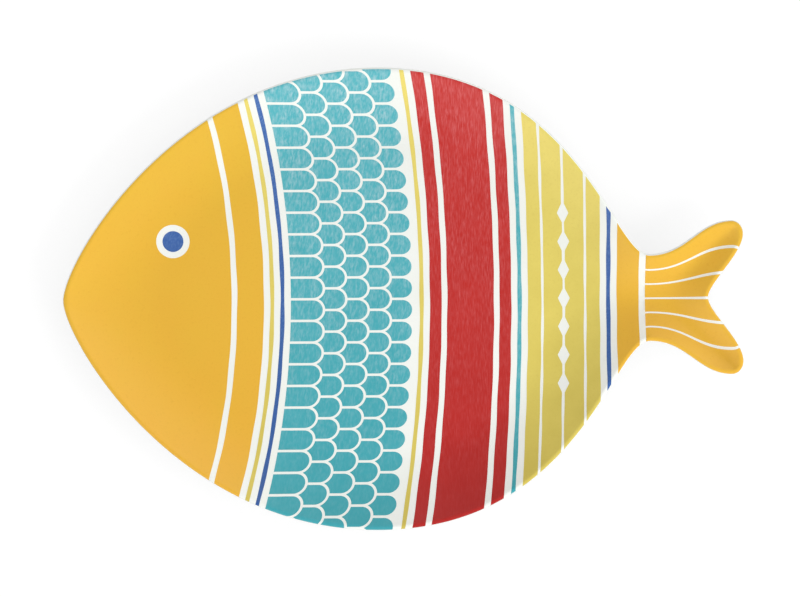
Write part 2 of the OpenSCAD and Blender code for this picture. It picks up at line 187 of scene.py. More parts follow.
# Least and greatest share of the colour of flecks, strokes and clusters, and the noise's values at those
FLECK_SHARE = (0, 0.35)
FLECK_REACH = (0.55, 0.8)
STROKE_SHARE = (0, 0.85)
STROKE_REACH = (0.38, 0.74)
CLUSTER_SHARE = (0.25, 1)
# The mix node's colour sockets, which share their names with others
MIX_FIRST, MIX_SECOND, MIX_RESULT = 6, 7, 2

# Stage, in metres and degrees
FLOOR_SIZE = 8
FLOOR_DROP = -0.0001
# Share of the light that the floor throws back, and what it glows for the camera and in reflections
FLOOR_LIT = 0.32
FLOOR_GLOW = 0.74
# Light from the side walls and from overhead
WALL_LIGHT = 1.14
OVERHEAD_LIGHT = 0.46
# How much brighter the walls are beyond the tail on the eye's side and beyond the nose on the other side,
# and how much dimmer they are across
WALL_SWING = 0.6
# X times Y of a direction of length one is at most this
DIAGONAL_REACH = 0.5
# What the soft box adds on a level face, then its size and place
KEY_LEVEL = 0.24
KEY_SIZE = (1.6, 1.1)
KEY_DISTANCE = 2.2
KEY_AZIMUTH = -40
KEY_ELEVATION = 33
CAMERA_HEIGHT = 2.4
CAMERA_SHIFT = (-0.0019, 0.0002)
CAMERA_TURN = -0.27
# Width that the picture takes in at the height of the lip, and width of the camera's sensor in millimetres
VIEW_WIDTH = 0.4768
SENSOR_WIDTH = 36

# Offsets from the foot ring's outer oval, and how far its section stands below the floor there
FOOT_SECTION = (
    (-5.8, 0), (-5.0, 0.12), (-4.45, 0.5), (-4.1, 1.1), (-3.95, 1.7), (-3.7, 2.25), (-3.1, FOOT_HEIGHT),
    (-0.9, FOOT_HEIGHT), (-0.3, 2.25), (-0.05, 1.7), (0.1, 1.1), (0.45, 0.5), (1.0, 0.12), (1.8, 0),
)

NOSE_X = -LENGTH / 2
TIP_X = LENGTH / 2
WAIST_X = TIP_X - TAIL_LENGTH
HALF_BODY = BODY_WIDTH / 2
FLOOR_TOP = FOOT_HEIGHT + WALL
RIM_RISE = HEIGHT - FLOOR_TOP
FOOT_FRONT = NOSE_X + RIM_WIDTH + FOOT_INSET
FOOT_REAR = WAIST_X - RIM_WIDTH - FOOT_INSET
FOOT_MIDDLE = (FOOT_FRONT + FOOT_REAR) / 2
FOOT_HALF = ((FOOT_REAR - FOOT_FRONT) / 2, HALF_BODY - RIM_WIDTH - FOOT_INSET)


# Outline
def cubic(a, from_a, from_d, d):
    """Points of a cubic curve whose handles are offsets from its ends. The start is left out."""
    t = np.arange(1, CURVE_STEPS + 1)[:, None] / CURVE_STEPS
    a, d = np.array(a, float), np.array(d, float)
    b, c = a + from_a, d + from_d
    return (1 - t) ** 3 * a + 3 * t * (1 - t) ** 2 * b + 3 * t * t * (1 - t) * c + t**3 * d


def spaced(points, step):
    """The same line with its points an even step apart, ends kept."""
    run = np.concatenate([[0], np.cumsum(np.linalg.norm(np.diff(points, axis=0), axis=1))])
    at = np.linspace(0, run[-1], max(2, round(run[-1] / step) + 1))
    return np.stack([np.interp(at, run, points[:, 0]), np.interp(at, run, points[:, 1])], 1)


def make_edges():
    """The upper edge from the nose to the lobe's tip, and the notch's edge from there to the middle."""
    nose = (NOSE_X, 0)
    crown = (NOSE_X + WIDEST_AT, HALF_BODY)
    waist = (WAIST_X, WAIST_WIDTH / 2)
    lobe = (TIP_X - LOBE_SETBACK, TAIL_WIDTH / 2)
    tip = (TIP_X, TIP_SPREAD / 2)
    notch = (TIP_X - NOTCH_DEPTH, 0)
    back = waist[0] - crown[0]
    flare = lobe[0] - waist[0]
    upper = np.vstack([
        [nose],
        cubic(nose, (0, NOSE_BLUNTNESS * HALF_BODY), (-SHOULDER_FULLNESS * WIDEST_AT, 0), crown),
        cubic(crown, (BACK_FULLNESS * back, 0), (-WAIST_SOFTNESS * back, 0), waist),
        cubic(waist, (FLARE_SOFTNESS * flare, 0), (-LOBE_FULLNESS * flare, 0), lobe),
        cubic(lobe, (QUARTER * LOBE_SETBACK, 0), (0, QUARTER * (lobe[1] - tip[1])), tip),
    ])
    inner = np.vstack([
        [tip],
        cubic(tip, (0, -INNER_FULLNESS * tip[1]), (0, NOTCH_BLUNTNESS * tip[1]), notch),
    ])
    return spaced(upper, EDGE_STEP), spaced(inner, EDGE_STEP)


UPPER_EDGE, NOTCH_EDGE = make_edges()


def mirrored(points):
    """The same points on the other side of the middle line."""
    return points * (1, -1)


def closed_outline():
    """The whole outline, clockwise from the nose."""
    half = np.vstack([UPPER_EDGE, NOTCH_EDGE[1:]])
    return np.vstack([half, mirrored(half)[-2:0:-1]])


OUTLINE = closed_outline()


def inward_normals(loop):
    """Unit vectors that point into a clockwise loop."""
    along = np.roll(loop, -1, 0) - np.roll(loop, 1, 0)
    along /= np.linalg.norm(along, axis=1)[:, None]
    return np.stack([along[:, 1], -along[:, 0]], 1)


INWARD = inward_normals(OUTLINE)


# Height of the face
def edge_distance(points, edge):
    """Distance of each point from a line of short straight pieces."""
    found = np.empty(len(points))
    for first in range(0, len(points), CHUNK):
        p = points[first:first + CHUNK]
        square = (p**2).sum(1)[:, None] + (edge**2).sum(1)[None] - 2 * p @ edge.T
        near = square.argmin(1)
        best = np.full(len(p), np.inf)
        for side in (-1, 0):
            a = edge[np.clip(near + side, 0, len(edge) - 2)]
            b = edge[np.clip(near + side, 0, len(edge) - 2) + 1]
            ab = b - a
            share = np.clip(((p - a) * ab).sum(1) / (ab**2).sum(1), 0, 1)
            best = np.minimum(best, np.linalg.norm(p - a - share[:, None] * ab, axis=1))
        found[first:first + CHUNK] = best
    return found


def side_distances(points):
    """Distances from the upper edge, the lower edge and the notch."""
    upper = edge_distance(points, UPPER_EDGE)
    lower = edge_distance(mirrored(points), UPPER_EDGE)
    inner = edge_distance(np.abs(points * (0, 1)) + points * (1, 0), NOTCH_EDGE)
    return np.maximum(np.stack([upper, lower, inner]), LEAST_DISTANCE)


def lip_drop(edge):
    """How far the rounded outer edge of the lip falls below its top, by the distance from the outline."""
    inside = np.maximum(0, LIP_RADIUS - np.where(edge < ON_OUTLINE, 0, edge))
    return LIP_RADIUS - np.sqrt(np.maximum(0, LIP_RADIUS**2 - inside**2))


def soft_min(a, b, depth):
    """The lesser of two values, rounded where they cross."""
    overlap = np.maximum(depth - np.abs(a - b), 0) / depth
    return np.minimum(a, b) - overlap**2 * depth / 4


def rim_height(points):
    """Height of the rim above the floor without the lip's round edge, and the distance from the outline."""
    sides = side_distances(points)
    blended = (sides**-RIM_BLEND).sum(0) ** (-1 / RIM_BLEND)
    share = np.maximum(0, (RIM_WIDTH - blended) / (RIM_WIDTH - LIP_WIDTH))
    return soft_min(RIM_RISE * share**2, RIM_RISE, CREASE), sides.min(0)


def face_height(points):
    """Height of the face above the table."""
    rise, edge = rim_height(points)
    return FLOOR_TOP + rise - lip_drop(edge)


# Edges of the print
def inset_edge(first, last, inset):
    """A stretch of the outline moved inwards."""
    return OUTLINE[first:last] + inset * INWARD[first:last]


def print_edges():
    """The print's upper and lower edge, whose drift fades towards the tips of the tail."""
    share = np.interp(UPPER_EDGE[:, :1], (TIP_X - DRIFT_FADE, TIP_X), (1, 0))
    margin = LEAST_MARGIN + share * (PRINT_MARGIN - LEAST_MARGIN)
    edge = inset_edge(0, len(UPPER_EDGE), margin)
    return edge + share * PRINT_DRIFT, mirrored(edge) + share * PRINT_DRIFT


UPPER_PRINT, LOWER_PRINT = print_edges()
LAST_EDGE = inset_edge(0, len(UPPER_EDGE), LEAST_MARGIN)
PRINT_FRONT = max(UPPER_PRINT[0, 0], LAST_EDGE[0, 0])


def print_top(x):
    """Upper edge of the print at x, which stays on the moulding."""
    return np.minimum(np.interp(x, *UPPER_PRINT.T), np.interp(x, *LAST_EDGE.T))


def print_bottom(x):
    """Lower edge of the print at x, which stays on the moulding."""
    return np.maximum(np.interp(x, *LOWER_PRINT.T), -np.interp(x, *LAST_EDGE.T))


GILL_X = NOSE_X + GILL_AT


def swept(points):
    """Bends straight cross lines towards the nose, most at the gill and less towards nose and waist."""
    x, y = points[:, 0], points[:, 1]
    before = (x - NOSE_X) / GILL_AT
    behind = np.maximum(0, (WAIST_X - x) / (WAIST_X - GILL_X))
    sweep = GILL_SWEEP * np.where(x < GILL_X, before, behind)
    return np.stack([x - sweep * (y / HALF_BODY) ** 2, y], 1)


def waver(x, y):
    """A slow unevenness of a cross line, of its own for each line."""
    wave = np.sin(2 * np.pi * y / WAVER_LENGTH + WAVER_SHIFT * x)
    slow_wave = np.sin(SLOW_TURN * y / WAVER_LENGTH + x)
    return WAVER * (wave + SLOW_WAVER * slow_wave)


def cross_line(x, step=EDGE_STEP):
    """The line that crosses the middle at x, from the print's lower edge to its upper edge."""
    ends = []
    for edge in (print_bottom, print_top):
        y = np.zeros(1)
        for _ in range(LINE_ROUNDS):
            y = edge(swept(np.stack([np.full(1, x), y], 1))[:, 0])
        ends.append(y[0])
    y = np.linspace(*ends, max(3, round((ends[1] - ends[0]) / step)))
    line = swept(np.stack([np.full(len(y), x), y], 1))
    line[:, 0] += waver(x, y)
    return line


def along_edge(edge, first, last):
    """Points of the print's edge between two places, both left out."""
    x = np.linspace(first, last, max(2, round(abs(last - first) / EDGE_STEP)))[1:-1]
    return np.stack([x, edge(x)], 1)


def between(ahead, behind):
    """Outline of the printed area between two cross lines."""
    return np.vstack([
        ahead,
        along_edge(print_top, ahead[-1, 0], behind[-1, 0]),
        behind[::-1],
        along_edge(print_bottom, behind[0, 0], ahead[0, 0]),
    ])


def band(front, rear):
    """Outline of the printed area between two places on the middle line."""
    return between(cross_line(front), cross_line(rear))


# Where each band starts: the head's from the nose, the tail's from the waist, as in the part's source
GILL_REAR = GILL_X + GILL_LINE + GILL_BAND
YELLOW_COLLAR_X = GILL_REAR + STRIPE_GAP
BLUE_COLLAR_X = YELLOW_COLLAR_X + PINSTRIPE + STRIPE_GAP
SCALES_X = BLUE_COLLAR_X + PINSTRIPE + STRIPE_GAP
RAYS_X = WAIST_X - FIN_LEAD
ROOT_X = RAYS_X - STRIPE_GAP - ROOT_BAND
BLUE_TAIL_X = ROOT_X - STRIPE_GAP - PINSTRIPE
REAR_YELLOW_X = BLUE_TAIL_X - STRIPE_GAP - YELLOW_LINE
LOZENGE_X = REAR_YELLOW_X - YELLOW_GAP - YELLOW_BAND
FRONT_YELLOW_X = LOZENGE_X - YELLOW_GAP - YELLOW_LINE
TEAL_X = FRONT_YELLOW_X - STRIPE_GAP - PINSTRIPE
REAR_RED_X = TEAL_X - STRIPE_GAP - RED_LINE
WIDE_RED_X = REAR_RED_X - RED_GAP - RED_BAND
FRONT_RED_X = WIDE_RED_X - RED_GAP - RED_LINE
YELLOW_MIDDLE_X = FRONT_RED_X - STRIPE_GAP - PINSTRIPE
SCALE_ROOM = YELLOW_MIDDLE_X - STRIPE_GAP - SCALE_WIDTH / 2 - SCALES_X
SCALE_COLUMNS = max(1, round(SCALE_ROOM / SCALE_LENGTH))
COLUMN_PITCH = SCALE_ROOM / SCALE_COLUMNS
EYE = np.array([NOSE_X + EYE_AT, EYE_OFFSET])


def circle(centre, diameter):
    """Points of a circle."""
    turn = 2 * np.pi * np.arange(CIRCLE_STEPS) / CIRCLE_STEPS
    return centre + diameter / 2 * np.stack([np.cos(turn), np.sin(turn)], 1)


def from_front(edge, last):
    """Points of the print's edge from its front to a place, both left out, closest together at the nose."""
    x = np.linspace(0, 1, HEAD_STEPS)[1:] ** 2 * (last - PRINT_FRONT) + PRINT_FRONT
    return np.stack([x, edge(x)], 1)[:-1]


def head_outline():
    """Outline of the head, from the nose to the gill line."""
    behind = cross_line(GILL_X)
    top = from_front(print_top, behind[-1, 0])
    bottom = from_front(print_bottom, behind[0, 0])
    front = (PRINT_FRONT, (print_top(PRINT_FRONT) + print_bottom(PRINT_FRONT)) / 2)
    return np.vstack([[front], top, behind[::-1], bottom[::-1]])


def scale_outline(middle, first):
    """A scale: round behind, hollowed in front by the two scales ahead, and cut off at the print's edge."""
    radius = SCALE_WIDTH / 2
    inner, outer = radius - SCALE_GAP / 2, radius + SCALE_GAP / 2
    side = inner * np.cos(np.linspace(0, np.pi, SCALE_STEPS))
    bulge = np.sqrt(np.maximum(0, inner**2 - side**2))
    hollow = 0 * side if first else np.sqrt(np.maximum(0, outer**2 - (radius - np.abs(side)) ** 2))
    rear = np.stack([middle[0] + bulge, middle[1] + side], 1)
    front = np.stack([middle[0] - COLUMN_PITCH + hollow, middle[1] + side], 1)
    return inside_print(swept(np.vstack([rear, front[::-1]])))


def inside_print(loop):
    """The part of a loop that lies on the print, closed along the print's edge where it is cut."""
    above = loop[:, 1] - print_top(loop[:, 0])
    beyond = np.maximum(above, print_bottom(loop[:, 0]) - loop[:, 1])
    if beyond.max() <= 0 or beyond.min() >= 0:
        return loop if beyond.min() < 0 else loop[:0]
    edge = print_top if above.max() > 0 else print_bottom
    first = np.flatnonzero((beyond < 0) & (np.roll(beyond, 1) >= 0))[0]
    loop, beyond = np.roll(loop, -first, 0), np.roll(beyond, -first)
    last = np.flatnonzero(beyond < 0)[-1]
    ends = []
    for inner, outer in ((last, last + 1), (0, -1)):
        share = beyond[inner] / (beyond[inner] - beyond[outer])
        ends.append(loop[inner, 0] + share * (loop[outer, 0] - loop[inner, 0]))
    x = np.linspace(*ends, max(2, round(abs(ends[1] - ends[0]) / EDGE_STEP)))
    return np.vstack([loop[:last + 1], np.stack([x, edge(x)], 1)])


def scale_outlines():
    """The scales, with every second column set half a scale aside, without the smallest of the cut ones."""
    rows = math.ceil(HALF_BODY / SCALE_WIDTH)
    loops = []
    for column in range(1, SCALE_COLUMNS + 1):
        for row in range(-rows, rows + 1):
            middle = (SCALES_X + column * COLUMN_PITCH, (row + column % 2 / 2) * SCALE_WIDTH)
            loop = scale_outline(middle, column == 1)
            if len(loop) and np.ptp(loop[:, 1]) > (0.5 - SCALE_OVERHANG) * SCALE_WIDTH:
                loops.append(loop)
    return loops


def lozenge_outlines():
    """The two halves of the lozenge band, with a white line and white lozenges between them."""
    line_x = LOZENGE_X + YELLOW_BAND / 2
    room = print_top(LOZENGE_X + YELLOW_BAND) - LOZENGE_LENGTH / 2 - YELLOW_GAP
    reach = math.floor(room / LOZENGE_PITCH)
    loops = []
    for side, outer_x in ((-1, LOZENGE_X), (1, LOZENGE_X + YELLOW_BAND)):
        cut = cross_line(line_x + side * YELLOW_GAP / 2, EDGE_STEP / 2)
        nearest = np.clip(np.round(cut[:, 1] / LOZENGE_PITCH), -reach, reach)
        from_middle = np.abs(cut[:, 1] - LOZENGE_PITCH * nearest)
        share = np.clip(1 - from_middle / (LOZENGE_LENGTH / 2), 0, 1)
        cut[:, 0] += side * (LOZENGE_WIDTH - YELLOW_GAP) / 2 * share
        outer = cross_line(outer_x)
        loops.append(between(outer, cut) if side < 0 else between(cut, outer))
    return loops


def ray_outlines():
    """The fin's rays, which spread from the waist and end at the notch."""
    first = len(UPPER_EDGE) - 1
    notch = inset_edge(first, first + len(NOTCH_EDGE), LEAST_MARGIN)
    rear_x, rear_y = notch[::-1, 0], notch[::-1, 1]
    x = np.linspace(RAYS_X, rear_x[-1], RAY_STEPS)
    low, high = print_bottom(x), print_top(x)
    half_gap = RAY_GAP / TAIL_WIDTH
    loops = []
    for ray in range(RAY_COUNT):
        shares = [2 * ray / RAY_COUNT - 1 + half_gap * (ray > 0),
                  2 * (ray + 1) / RAY_COUNT - 1 - half_gap * (ray < RAY_COUNT - 1)]
        sides = []
        for share in shares:
            y = (low + high) / 2 + share * (high - low) / 2
            blocked = np.abs(y) < np.interp(x, rear_x, rear_y, left=-1)
            end = np.argmax(blocked) if blocked.any() else len(x)
            sides.append(np.stack([x, y], 1)[:end])
        closing = notch_stretch(notch, sides[0][-1], sides[1][-1])
        side_a, side_b = spaced(sides[0], EDGE_STEP), spaced(sides[1], EDGE_STEP)
        loops.append(np.vstack([side_a, closing, side_b[::-1]]))
    return loops


def notch_stretch(notch, start, end):
    """Points of the notch's edge between the ends of a ray's two sides."""
    edge = np.vstack([notch, mirrored(notch)[-2::-1]])[::-1]
    y = edge[:, 1]
    return edge[(y > start[1] + CORNER_ROOM) & (y < end[1] - CORNER_ROOM)]


# Plan meshes
def grid_points(step):
    """A plan grid of even triangles that covers the fish."""
    rows = np.arange(-HALF_BODY, HALF_BODY, step * math.sqrt(3) / 2)
    points = []
    for k, y in enumerate(rows):
        x = np.arange(NOSE_X, TIP_X, step) + step / 2 * (k % 2)
        points.append(np.stack([x, np.full(len(x), y)], 1))
    return np.vstack(points)


def edge_rings(insets):
    """Points of the outline moved inwards by each of the distances."""
    return np.vstack([OUTLINE + inset * INWARD for inset in insets])


def plan_mesh(loops, rings, step):
    """Triangles over the fish, anticlockwise, whose edges follow all the loops."""
    ring_points = edge_rings(rings)
    kept = side_distances(ring_points).min(0) > np.repeat(rings, len(OUTLINE)) * RING_REACH
    ring_points = free_points(ring_points[kept], loops, FREE_ROOM / 2)
    grid = grid_points(step)
    grid = grid[in_loop(grid, OUTLINE) & (side_distances(grid).min(0) > rings[-1] + step / 2)]
    verts = [OUTLINE, *loops, ring_points, free_points(grid, loops, step / 3)]
    edges, start = [], 0
    for loop in verts[:1 + len(loops)]:
        edges += [(start + k, start + (k + 1) % len(loop)) for k in range(len(loop))]
        start += len(loop)
    verts = [Vector(p) for p in np.vstack(verts).tolist()]
    found = delaunay_2d_cdt(verts, edges, [], 0, MERGE_DISTANCE, False)
    plan = np.array([tuple(v) for v in found[0]])
    faces = np.array(found[2])
    faces = faces[in_loop(plan[faces].mean(1), OUTLINE)]
    a, b, c = (plan[faces[:, k]] for k in range(3))
    turned = np.cross(b - a, c - a) < 0
    faces[turned] = faces[turned][:, ::-1]
    return plan, faces


def free_points(points, loops, room):
    """The points that keep some room from the points of all the loops."""
    near = KDTree(sum(len(loop) for loop in loops))
    for k, (x, y) in enumerate(np.vstack(loops)):
        near.insert((x, y, 0), k)
    near.balance()
    return points[[near.find((x, y, 0))[2] > room for x, y in points]]


def in_loop(points, loop):
    """Which points lie inside a loop, by counting the edges that they cross."""
    inside = np.zeros(len(points), bool)
    close = np.flatnonzero(((points >= loop.min(0)) & (points <= loop.max(0))).all(1))
    x, y = points[close].T
    for p, q in zip(loop, np.roll(loop, -1, 0)):
        if p[1] != q[1]:
            spans = (y < p[1]) != (y < q[1])
            inside[close] ^= spans & (x < p[0] + (y - p[1]) * (q[0] - p[0]) / (q[1] - p[1]))
    return inside


def new_piece(name, points, faces, finish, node):
    """A mesh that rides on the part and stands for one CAD node. The finish is a slot and its material."""
    slot, material = finish
    mesh = bpy.data.meshes.new(name)
    mesh.from_pydata((points * MM).tolist(), [], faces)
    mesh.polygons.foreach_set("use_smooth", [True] * len(faces))
    mesh.set_sharp_from_angle(angle=math.radians(SHARP_ANGLE))
    mesh.materials.append(material)
    mesh.validate()
    piece = bpy.data.objects.new(name, mesh)
    bpy.context.collection.objects.link(piece)
    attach(piece, "root")
    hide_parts(node)


def border(faces):
    """Directed edges that only one of the faces has."""
    directed = {(a, b) for f in faces for a, b in zip(f, f[1:] + f[:1])}
    return [(a, b) for a, b in directed if (b, a) not in directed]


def thin_solid(plan, heights, faces):
    """A closed skin over some of the plan's faces, from a little above the face to a little below it."""
    used = sorted({v for f in faces for v in f})
    place = {v: k for k, v in enumerate(used)}
    top = [[place[v] for v in f] for f in faces]
    count = len(used)
    bottom = [[v + count for v in f[::-1]] for f in top]
    walls = [[b, a, a + count, b + count] for a, b in border(top)]
    flat, z = plan[used], heights[used]
    points = np.vstack([
        np.column_stack([flat, z + INK_PROUD]),
        np.column_stack([flat, z - INK_DEPTH]),
    ])
    return points, top + bottom + walls


# The moulding
def foot_offset(points):
    """How far outside the foot ring's outer oval a point lies, measured along both half axes alike."""
    x, y = np.abs(points[:, 0] - FOOT_MIDDLE), np.abs(points[:, 1])
    low, high = np.full(len(x), -min(FOOT_HALF) + 1.0), np.full(len(x), float(LENGTH))
    for _ in range(FOOT_ROUNDS):
        middle = (low + high) / 2
        outside = (x / (FOOT_HALF[0] + middle)) ** 2 + (y / (FOOT_HALF[1] + middle)) ** 2 > 1
        low, high = np.where(outside, middle, low), np.where(outside, high, middle)
    return low


def under_height(points):
    """Height of the underside: the face lowered by the wall, with a round lip and the foot ring."""
    rise, edge = rim_height(points)
    drop = np.interp(foot_offset(points), *np.array(FOOT_SECTION).T)
    return FLOOR_TOP + rise - WALL + lip_drop(edge) - drop


def foot_ovals():
    """Ovals round the foot ring, one for each point of its section."""
    turn = 2 * np.pi * np.arange(FOOT_STEPS) / FOOT_STEPS
    around = np.stack([np.cos(turn), np.sin(turn)], 1)
    return [(FOOT_MIDDLE, 0) + (np.array(FOOT_HALF) + offset) * around for offset, _ in FOOT_SECTION]


def make_moulding(plan, heights, faces):
    """One closed shell: the face with the print, the round lip and the underside with the foot ring."""
    under_plan, under_faces = plan_mesh(foot_ovals(), UNDER_RINGS, UNDER_STEP)
    under = np.column_stack([under_plan, under_height(under_plan)])
    top = np.column_stack([plan, heights])
    points, joined = merged(np.vstack([top, under]), np.vstack([faces, under_faces[:, ::-1] + len(top)]))
    new_piece("moulding", points, joined, white_melamine(), "platter_body")


def merged(points, faces):
    """The same faces with points that share a place made into one."""
    rounded = np.round(points, MERGE_DIGITS)
    _, first, place = np.unique(rounded, axis=0, return_index=True, return_inverse=True)
    return points[first], place.reshape(-1)[faces].tolist()


# The print
def print_areas():
    """Each printed node with the outlines of its areas and the material it takes."""
    orange, red, teal, yellow, blue = orange_ink(), red_ink(), teal_ink(), yellow_ink(), blue_ink()
    gill_front = GILL_X + GILL_LINE
    return [
        ("head_panel", [head_outline()], orange),
        ("eye_pupil", [circle(EYE, PUPIL_SIZE)], blue),
        ("gill_band_panel", [band(gill_front, GILL_REAR)], orange),
        ("yellow_collar_stripe", [band(YELLOW_COLLAR_X, YELLOW_COLLAR_X + PINSTRIPE)], yellow),
        ("blue_collar_stripe", [band(BLUE_COLLAR_X, BLUE_COLLAR_X + PINSTRIPE)], blue),
        ("scale_field", scale_outlines(), teal),
        ("yellow_middle_stripe", [band(YELLOW_MIDDLE_X, YELLOW_MIDDLE_X + PINSTRIPE)], yellow),
        ("front_red_stripe", [band(FRONT_RED_X, FRONT_RED_X + RED_LINE)], red),
        ("wide_red_stripe", [band(WIDE_RED_X, WIDE_RED_X + RED_BAND)], red),
        ("rear_red_stripe", [band(REAR_RED_X, REAR_RED_X + RED_LINE)], red),
        ("teal_stripe", [band(TEAL_X, TEAL_X + PINSTRIPE)], teal),
        ("front_yellow_stripe", [band(FRONT_YELLOW_X, FRONT_YELLOW_X + YELLOW_LINE)], yellow),
        ("lozenge_band", lozenge_outlines(), yellow),
        ("rear_yellow_stripe", [band(REAR_YELLOW_X, REAR_YELLOW_X + YELLOW_LINE)], yellow),
        ("blue_tail_stripe", [band(BLUE_TAIL_X, BLUE_TAIL_X + PINSTRIPE)], blue),
        ("tail_root_panel", [band(ROOT_X, ROOT_X + ROOT_BAND)], orange),
        ("tail_rays", ray_outlines(), orange),
    ]


def make_platter():
    """The moulding and the printed areas, all cut from one plan so that their edges agree."""
    areas = print_areas()
    eye_white = circle(EYE, EYE_SIZE)
    loops = [eye_white] + [loop for _, outlines, _ in areas for loop in outlines]
    plan, faces = plan_mesh(loops, FACE_RINGS, GRID_STEP)
    heights = face_height(plan)
    make_moulding(plan, heights, faces)
    middles = plan[faces].mean(1)
    for name, outlines, ink in areas:
        printed = np.any([in_loop(middles, loop) for loop in outlines], 0)
        if name == "head_panel":
            printed &= ~in_loop(middles, eye_white)
        points, skin = thin_solid(plan, heights, faces[printed].tolist())
        new_piece(name + "_print", points, skin, ink, name)


# Materials
def shader(name, roughness):
    """A slot and its material of uneven gloss, with the node tree, its shader and the place in metres."""
    material = bpy.data.materials.new(name + "_look")
    material.use_nodes = True
    tree = material.node_tree
    bsdf = tree.nodes["Principled BSDF"]
    place = tree.nodes.new("ShaderNodeTexCoord").outputs["Object"]
    smear = noise(tree, place, [SMEARS] * 3, detail=3)
    tree.links.new(ramp(tree, smear, *roughness), bsdf.inputs["Roughness"])
    bsdf.inputs["IOR"].default_value = GLAZE_IOR
    bsdf.inputs["Specular IOR Level"].default_value = GLAZE_SPECULAR
    return (name, material), tree, bsdf, place


def noise(tree, place, per_metre, detail, roughness=0.5):
    """A noise with so many spots a metre along X, Y and Z."""
    stretch = tree.nodes.new("ShaderNodeMapping")
    stretch.inputs["Scale"].default_value = per_metre
    spots = tree.nodes.new("ShaderNodeTexNoise")
    spots.inputs["Scale"].default_value = 1
    spots.inputs["Detail"].default_value = detail
    spots.inputs["Roughness"].default_value = roughness
    tree.links.new(place, stretch.inputs["Vector"])
    tree.links.new(stretch.outputs["Vector"], spots.inputs["Vector"])
    return spots.outputs["Fac"]


def ramp(tree, value, low, high, start=0.3, end=0.7):
    """A value spread from one range, by default a noise's usual one, to another, and held at the ends."""
    spread = tree.nodes.new("ShaderNodeMapRange")
    for socket, number in zip(("From Min", "From Max", "To Min", "To Max"), (start, end, low, high)):
        spread.inputs[socket].default_value = number
    tree.links.new(value, spread.inputs["Value"])
    return spread.outputs["Result"]


def maths(tree, operation, a, b):
    """Two outputs of nodes put together by an operation such as ADD."""
    both = tree.nodes.new("ShaderNodeMath")
    both.operation = operation
    tree.links.new(a, both.inputs[0])
    tree.links.new(b, both.inputs[1])
    return both.outputs[0]


def mixed(tree, share, a, b):
    """One colour laid over another by a share. Each is a colour or the output of a node."""
    mix = tree.nodes.new("ShaderNodeMix")
    mix.data_type = "RGBA"
    tree.links.new(share, mix.inputs["Factor"])
    for socket, colour in ((mix.inputs[MIX_FIRST], a), (mix.inputs[MIX_SECOND], b)):
        if isinstance(colour, bpy.types.NodeSocket):
            tree.links.new(colour, socket)
        else:
            socket.default_value = linear(colour)
    return mix.outputs[MIX_RESULT]


def linear(hex_colour):
    """A colour written as six hex digits, as linear values with full opacity."""
    parts = [int(hex_colour[k:k + 2], 16) / 255 for k in (0, 2, 4)]
    return [c / 12.92 if c <= 0.04045 else ((c + 0.055) / 1.055) ** 2.4 for c in parts] + [1.0]


def bumped(tree, bsdf, place, grain):
    """Fine unevenness of the surface, with so many spots a metre."""
    value = noise(tree, place, [grain] * 3, detail=2)
    bump = tree.nodes.new("ShaderNodeBump")
    bump.inputs["Distance"].default_value = BUMP_HEIGHT
    bump.inputs["Strength"].default_value = 1
    tree.links.new(value, bump.inputs["Height"])
    tree.links.new(bump.outputs["Normal"], bsdf.inputs["Normal"])


def white_melamine():
    """The moulding's glossy white with faint clouds."""
    finish, tree, bsdf, place = shader("white_melamine", WHITE_ROUGHNESS)
    cloud = ramp(tree, noise(tree, place, [WHITE_CLOUDS] * 3, detail=3), 0, 1)
    tree.links.new(mixed(tree, cloud, "f2f5ef", "f7f9f4"), bsdf.inputs["Base Color"])
    bumped(tree, bsdf, place, WHITE_GRAIN)
    return finish


def from_belly(tree, place, low, high):
    """A value that runs evenly from the belly's edge to the back's edge."""
    axes = tree.nodes.new("ShaderNodeSeparateXYZ")
    tree.links.new(place, axes.inputs[0])
    return ramp(tree, axes.outputs["Y"], low, high, -HALF_BODY * MM, HALF_BODY * MM)


def tone(tree, place, dark, light):
    """An ink's ground with clouds, darker at the belly from denser ink and painted shade, lighter at the
    back from painted light.
    """
    spots = noise(tree, place, [INK_CLOUDS] * 3, detail=5, roughness=0.6)
    cloud = ramp(tree, spots, 0, CLOUD_SHARE)
    # The even part darkens the belly and lightens the back: denser ink there, and painted shade and light
    # of the rims
    even = from_belly(tree, place, 0, 1 - CLOUD_SHARE)
    return mixed(tree, maths(tree, "ADD", cloud, even), dark, light)


def flat_ink(name, dark, light, fleck):
    """A smooth printed colour with faint flecks."""
    finish, tree, bsdf, place = shader(name, INK_ROUGHNESS)
    spots = noise(tree, place, [INK_FLECKS] * 3, detail=2)
    flecks = ramp(tree, spots, *FLECK_SHARE, *FLECK_REACH)
    colour = mixed(tree, flecks, tone(tree, place, dark, light), fleck)
    tree.links.new(colour, bsdf.inputs["Base Color"])
    bumped(tree, bsdf, place, INK_GRAIN)
    return finish


def streaked_ink(name, dark, light, streak, per_metre, turn):
    """A printed colour that looks drawn with a crayon: paler strokes in clusters, fewer at the belly."""
    finish, tree, bsdf, place = shader(name, INK_ROUGHNESS)
    turned = tree.nodes.new("ShaderNodeMapping")
    turned.inputs["Rotation"].default_value = (0, 0, turn)
    tree.links.new(place, turned.inputs["Vector"])
    along = turned.outputs["Vector"]
    coarse = noise(tree, along, [k / CLUSTER for k in per_metre], detail=3, roughness=0.6)
    clusters = ramp(tree, coarse, *CLUSTER_SHARE)
    fine = noise(tree, along, per_metre, detail=3, roughness=0.6)
    strokes = ramp(tree, fine, *STROKE_SHARE, *STROKE_REACH)
    density = from_belly(tree, place, BELLY_STROKES, 1)
    share = maths(tree, "MULTIPLY", maths(tree, "MULTIPLY", strokes, clusters), density)
    colour = mixed(tree, share, tone(tree, place, dark, light), streak)
    tree.links.new(colour, bsdf.inputs["Base Color"])
    bumped(tree, bsdf, place, INK_GRAIN)
    return finish


